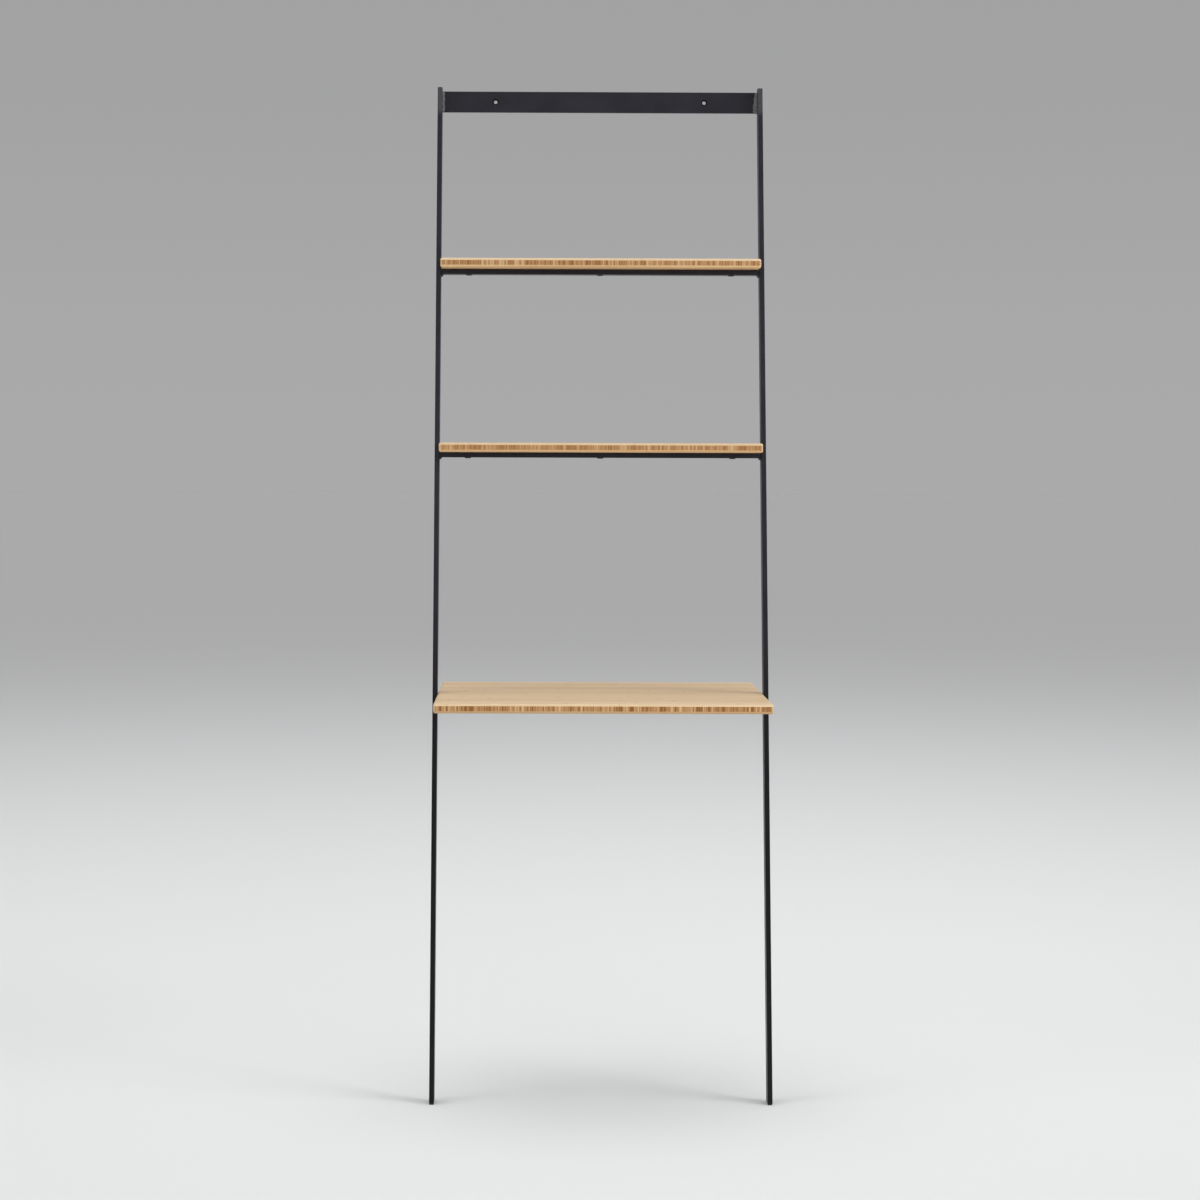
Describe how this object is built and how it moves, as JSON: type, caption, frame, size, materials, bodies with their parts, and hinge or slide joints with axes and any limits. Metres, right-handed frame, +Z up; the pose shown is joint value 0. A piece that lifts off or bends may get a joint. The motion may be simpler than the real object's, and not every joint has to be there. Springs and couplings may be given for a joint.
{
  "type": "ladder desk",
  "caption": "Ladder desk that leans on a wall: slim black steel rails carry a deep bamboo desktop with shallower bamboo shelves above it, and a drilled wall plate joins the rail tops.",
  "frame": {"origin": "on the floor, midway between the rails and midway between the desk's front edge and the wall", "axes": "+X to the right of a person facing the desk, +Y towards the wall, +Z up"},
  "size_m": [0.631, 0.432, 1.905],
  "materials": {
    "black_steel": "fine satin black powder coat on flat steel bar",
    "painted_weld": "black powder coat over rough weld beads",
    "bamboo_ply": "clear matt lacquer on lengthwise bamboo strips",
    "bamboo_core": "clear matt lacquer on cross-laid bamboo, strip ends showing",
    "screw": "black oxide with a dull sheen",
    "foot_pad": "matt black rubber"
  },
  "bodies": {
    "root": {"left_rail": "black_steel", "right_rail": "black_steel", "wall_plate": "black_steel", "top_shelf_bar": "black_steel", "middle_shelf_bar": "black_steel", "desk_bar": "black_steel", "left_desk_arm": "black_steel", "right_desk_arm": "black_steel", "left_wall_plate_weld": "painted_weld", "left_top_bar_weld": "painted_weld", "left_middle_bar_weld": "painted_weld", "left_desk_arm_weld": "painted_weld", "left_desk_bar_weld": "painted_weld", "right_wall_plate_weld": "painted_weld", "right_top_bar_weld": "painted_weld", "right_middle_bar_weld": "painted_weld", "right_desk_arm_weld": "painted_weld", "right_desk_bar_weld": "painted_weld", "desk_face_ply": "bamboo_ply", "desk_core": "bamboo_core", "desk_back_ply": "bamboo_ply", "middle_shelf_face_ply": "bamboo_ply", "middle_shelf_core": "bamboo_core", "middle_shelf_back_ply": "bamboo_ply", "top_shelf_face_ply": "bamboo_ply", "top_shelf_core": "bamboo_core", "top_shelf_back_ply": "bamboo_ply", "top_shelf_screws": "screw", "middle_shelf_screws": "screw", "desk_bar_screws": "screw", "desk_arm_screws": "screw", "left_foot_pad": "foot_pad", "right_foot_pad": "foot_pad"}
  },
  "joints": []
}
